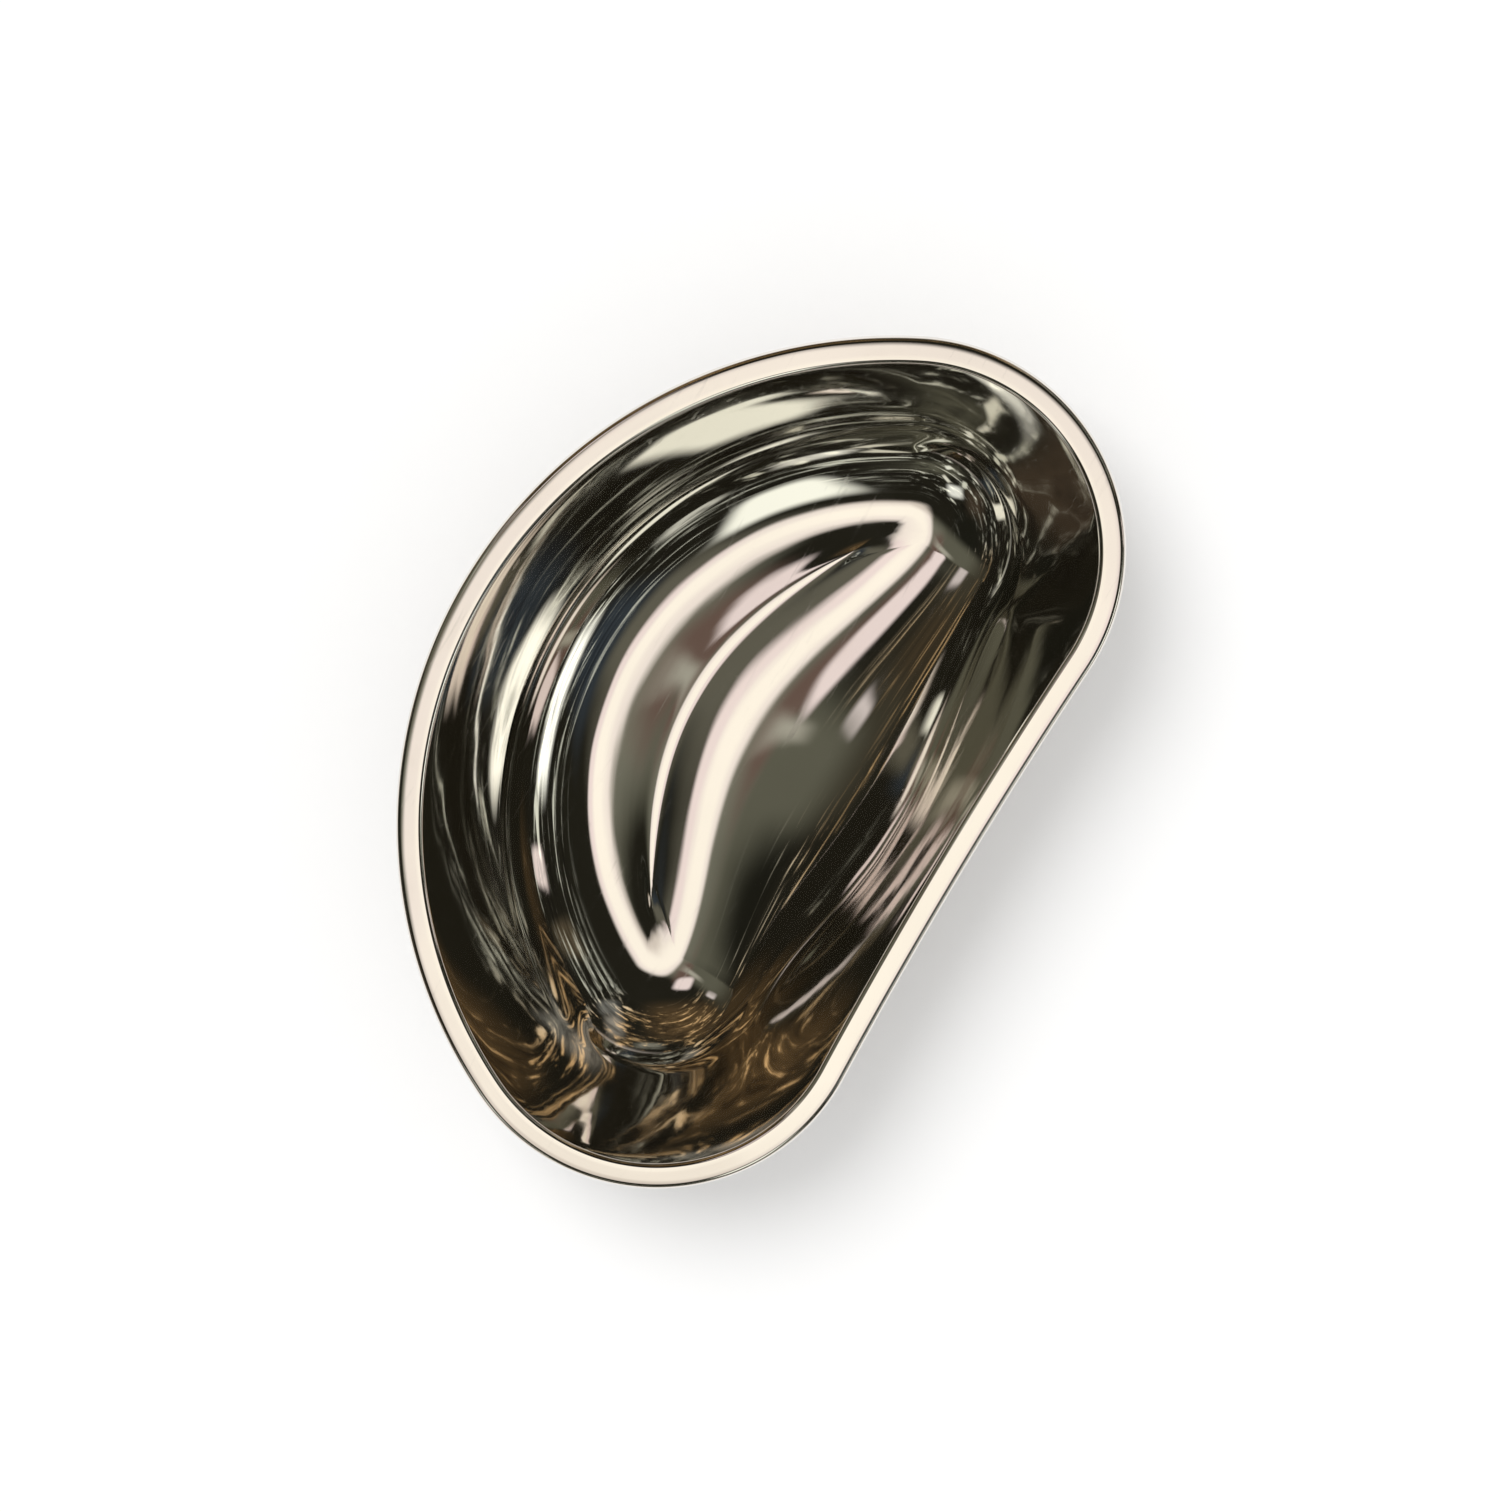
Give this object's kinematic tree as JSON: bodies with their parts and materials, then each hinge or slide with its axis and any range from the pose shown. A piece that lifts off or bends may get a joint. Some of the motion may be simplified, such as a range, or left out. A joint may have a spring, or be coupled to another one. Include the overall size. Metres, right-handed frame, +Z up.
{
  "type": "kidney dish",
  "caption": "Shallow kidney-shaped steel dish with a flat base, rounded floor radius, sloping wall and a rolled wired rim, for holding instruments or waste.",
  "frame": {"origin": "resting plane, under the middle of the outline's box", "axes": "+X along the dish, +Y towards its convex side, +Z up out of its mouth"},
  "size_m": [0.2, 0.125, 0.038],
  "materials": {
    "polished_steel": "mirror polished stainless steel",
    "wire_steel": "drawn stainless wire"
  },
  "bodies": {
    "root": {"dish_shell": "polished_steel", "rim_wire": "wire_steel"}
  },
  "joints": []
}
